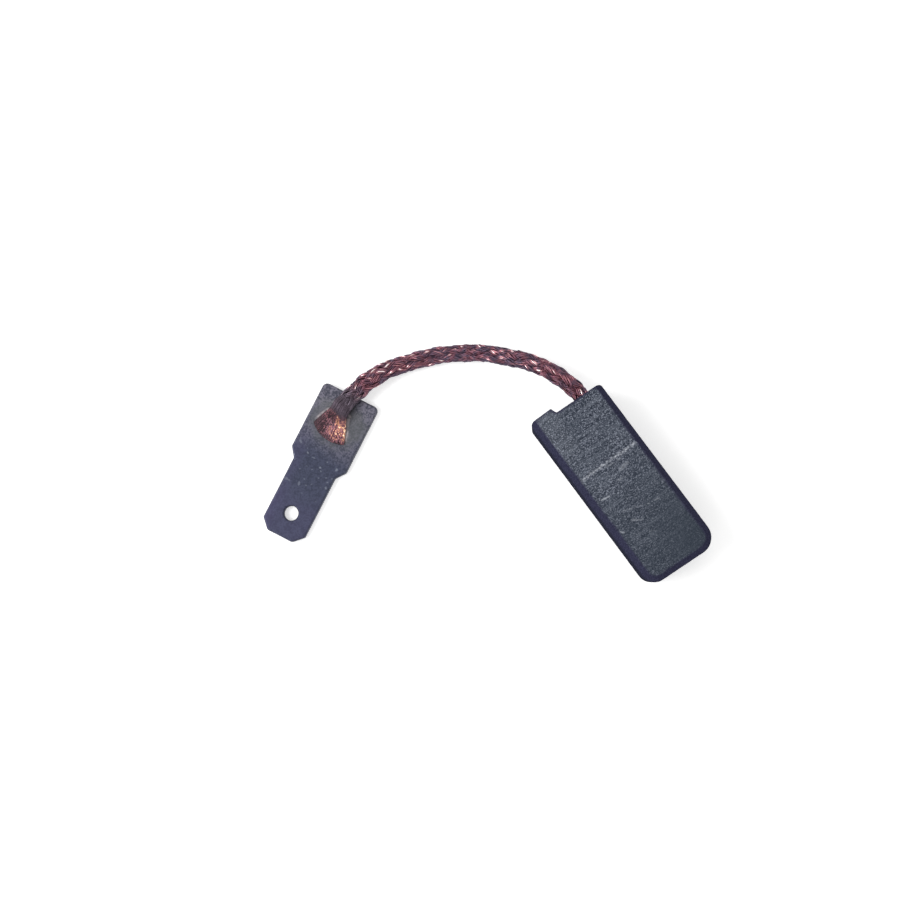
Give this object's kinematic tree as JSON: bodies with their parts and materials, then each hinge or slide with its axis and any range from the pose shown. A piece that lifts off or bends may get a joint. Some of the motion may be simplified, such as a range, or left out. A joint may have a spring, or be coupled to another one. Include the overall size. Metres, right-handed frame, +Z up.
{
  "type": "carbon brush",
  "caption": "Chamfered carbon block with a concave running face, a braided copper lead tamped into its head and a push-on terminal tab.",
  "frame": {"origin": "middle of the block's under side, on the surface that the brush lies on", "axes": "+Y along the block from the running face to the head where the braid leaves, +X to the braid's side of the head, +Z up through the block's thickness"},
  "size_m": [0.0357, 0.0365, 0.0063],
  "materials": {
    "electrographite": "matt pressed and ground, fine dark grain",
    "copper_powder": "matt rammed powder",
    "copper_braid": "bare fine wires, oxidised reddish brown",
    "welded_copper": "pressed wires, heat-darkened at the neck and bright at the end",
    "tinned_tab": "dull dark tin plating, mottled"
  },
  "bodies": {
    "root": {"carbon_block": "electrographite", "tamped_fill": "copper_powder", "shunt_braid": "copper_braid", "welded_end": "welded_copper", "terminal_tab": "tinned_tab"}
  },
  "joints": []
}
